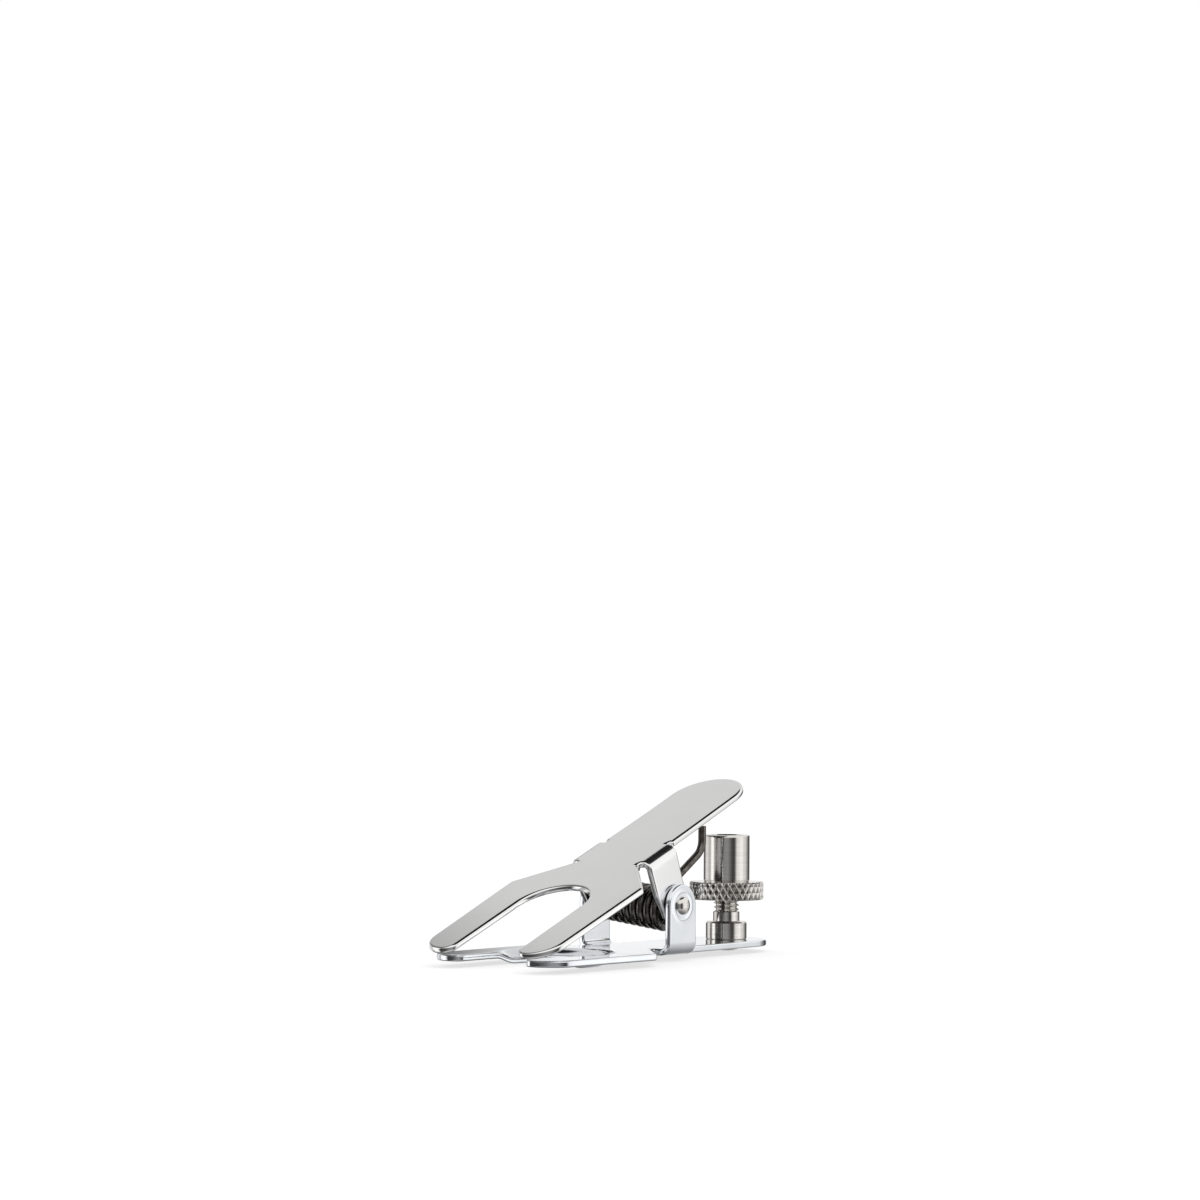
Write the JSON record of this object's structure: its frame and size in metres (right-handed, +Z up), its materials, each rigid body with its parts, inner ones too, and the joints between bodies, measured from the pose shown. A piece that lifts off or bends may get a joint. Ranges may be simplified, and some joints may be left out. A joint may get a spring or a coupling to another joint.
{
  "type": "forked pinch clamp",
  "caption": "Spring-loaded pinch clamp with forked sheet-steel jaws on a hinge pin, a coiled torsion spring and a knurled thumb nut on a threaded stud that locks the jaws.",
  "frame": {"origin": "on the flat underside of the lower plate, straight below the hinge axis and midway between its ears", "axes": "+X along the clamp from the jaw tips to the handle, +Y along the hinge axis, +Z up out of the lower plate"},
  "size_m": [0.0958, 0.038, 0.0402],
  "materials": {
    "plated_steel": "bright nickel-plated sheet steel, near mirror",
    "satin_steel": "fine satin sheet steel with bright rounded edges",
    "turned_steel": "turned stainless steel, bright, with a diamond knurl on the ring",
    "spring_steel": "dark drawn spring wire, satin"
  },
  "bodies": {
    "lower_jaw": {"lower_jaw": "plated_steel", "hinge_pin": "turned_steel", "lock_stud": "turned_steel", "torsion_spring": "spring_steel"},
    "upper_jaw": {"upper_jaw": "satin_steel"},
    "thumb_nut": {"thumb_nut_barrel": "turned_steel"},
    "thumb_nut_ring": {"thumb_nut_knurled_ring": "turned_steel"}
  },
  "joints": [
    {"name": "jaw_hinge", "type": "hinge", "parent": "lower_jaw", "child": "upper_jaw", "pos_m": [0, 0, 0.01105], "axis": [0, 1, 0], "range_deg": [0, 15.6], "stiffness_Nm_per_rad": 0.45, "springref_deg": -34.38, "deforming": ["torsion_spring"]},
    {"name": "nut_travel", "type": "slide", "parent": "lower_jaw", "child": "thumb_nut", "axis": [0, 0, -1], "range_m": [0, 0.0023]},
    {"name": "nut_turn", "type": "hinge", "parent": "thumb_nut", "child": "thumb_nut_ring", "pos_m": [0.0331, 0, 0.0128], "axis": [0, 0, -1], "range_deg": [0, 830]}
  ],
  "couplings": [
    {"joint": "nut_turn", "follows": "nut_travel", "rad_per_m": 6283.2}
  ]
}
